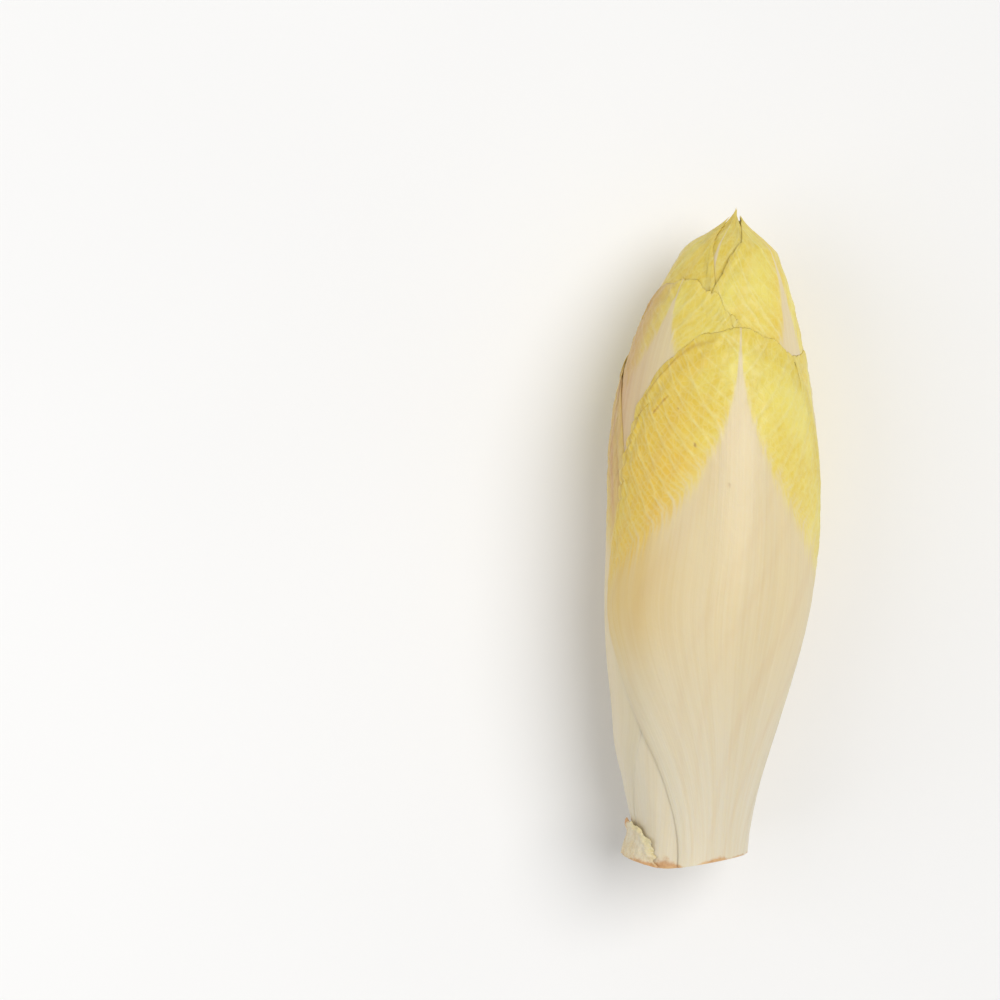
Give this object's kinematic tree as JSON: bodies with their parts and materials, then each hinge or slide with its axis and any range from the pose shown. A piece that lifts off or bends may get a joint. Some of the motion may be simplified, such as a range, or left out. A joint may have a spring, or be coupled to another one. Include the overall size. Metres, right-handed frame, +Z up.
{
  "type": "belgian endive",
  "caption": "Closed spindle-shaped head of pale overlapping leaves on a short cut core, lying on its side.",
  "frame": {"origin": "on the supporting surface, under the middle of the head's bounding box", "axes": "+Y along the head from the cut base to the tip, +Z up, +X to the right when seen from above with the tip away from the viewer"},
  "size_m": [0.0428, 0.1336, 0.0411],
  "materials": {
    "outer_leaf": "smooth waxy leaf: cream-white midrib, pale yellow blade",
    "middle_leaf": "smooth waxy leaf, white below and pale yellow at the tip",
    "inner_leaf": "thin pale leaf, creamy yellow",
    "core": "moist cut stem tissue, off-white, browned at the rim",
    "trimmed_leaf": "cut and dried leaf stub, tan with a rust edge"
  },
  "bodies": {
    "root": {"outer_leaf_1": "outer_leaf", "outer_leaf_2": "outer_leaf", "outer_leaf_3": "outer_leaf", "outer_leaf_4": "outer_leaf", "outer_leaf_5": "outer_leaf", "outer_leaf_6": "outer_leaf", "middle_leaf_1": "middle_leaf", "middle_leaf_2": "middle_leaf", "middle_leaf_3": "middle_leaf", "middle_leaf_4": "middle_leaf", "middle_leaf_5": "middle_leaf", "middle_leaf_6": "middle_leaf", "inner_leaf_1": "inner_leaf", "inner_leaf_2": "inner_leaf", "inner_leaf_3": "inner_leaf", "inner_leaf_4": "inner_leaf", "inner_leaf_5": "inner_leaf", "inner_leaf_6": "inner_leaf", "heart_bud": "inner_leaf", "core": "core", "trimmed_leaf": "trimmed_leaf"}
  },
  "joints": []
}
